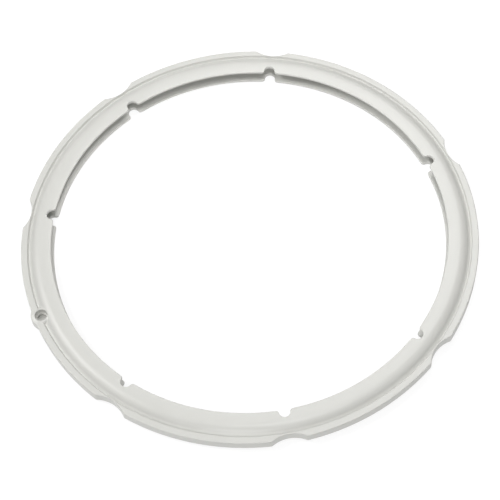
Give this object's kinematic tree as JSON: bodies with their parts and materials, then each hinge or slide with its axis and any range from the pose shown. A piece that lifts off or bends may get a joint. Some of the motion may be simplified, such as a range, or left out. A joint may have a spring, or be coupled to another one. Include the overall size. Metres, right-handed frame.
{
  "type": "pressure cooker lid gasket",
  "caption": "Moulded silicone sealing ring for a stovetop pressure cooker lid, with domed lips, a scalloped rim, lip notches and one locating socket.",
  "frame": {"origin": "centre of the ring, on the plane its lower lip rests on", "axes": "+Z along the ring's axis, up; -X from the centre to the locating socket; the XZ plane mirrors the ring"},
  "size_m": [0.2413, 0.24, 0.0087],
  "materials": {
    "silicone": "matte"
  },
  "bodies": {
    "root": {"gasket": "silicone"}
  },
  "joints": []
}
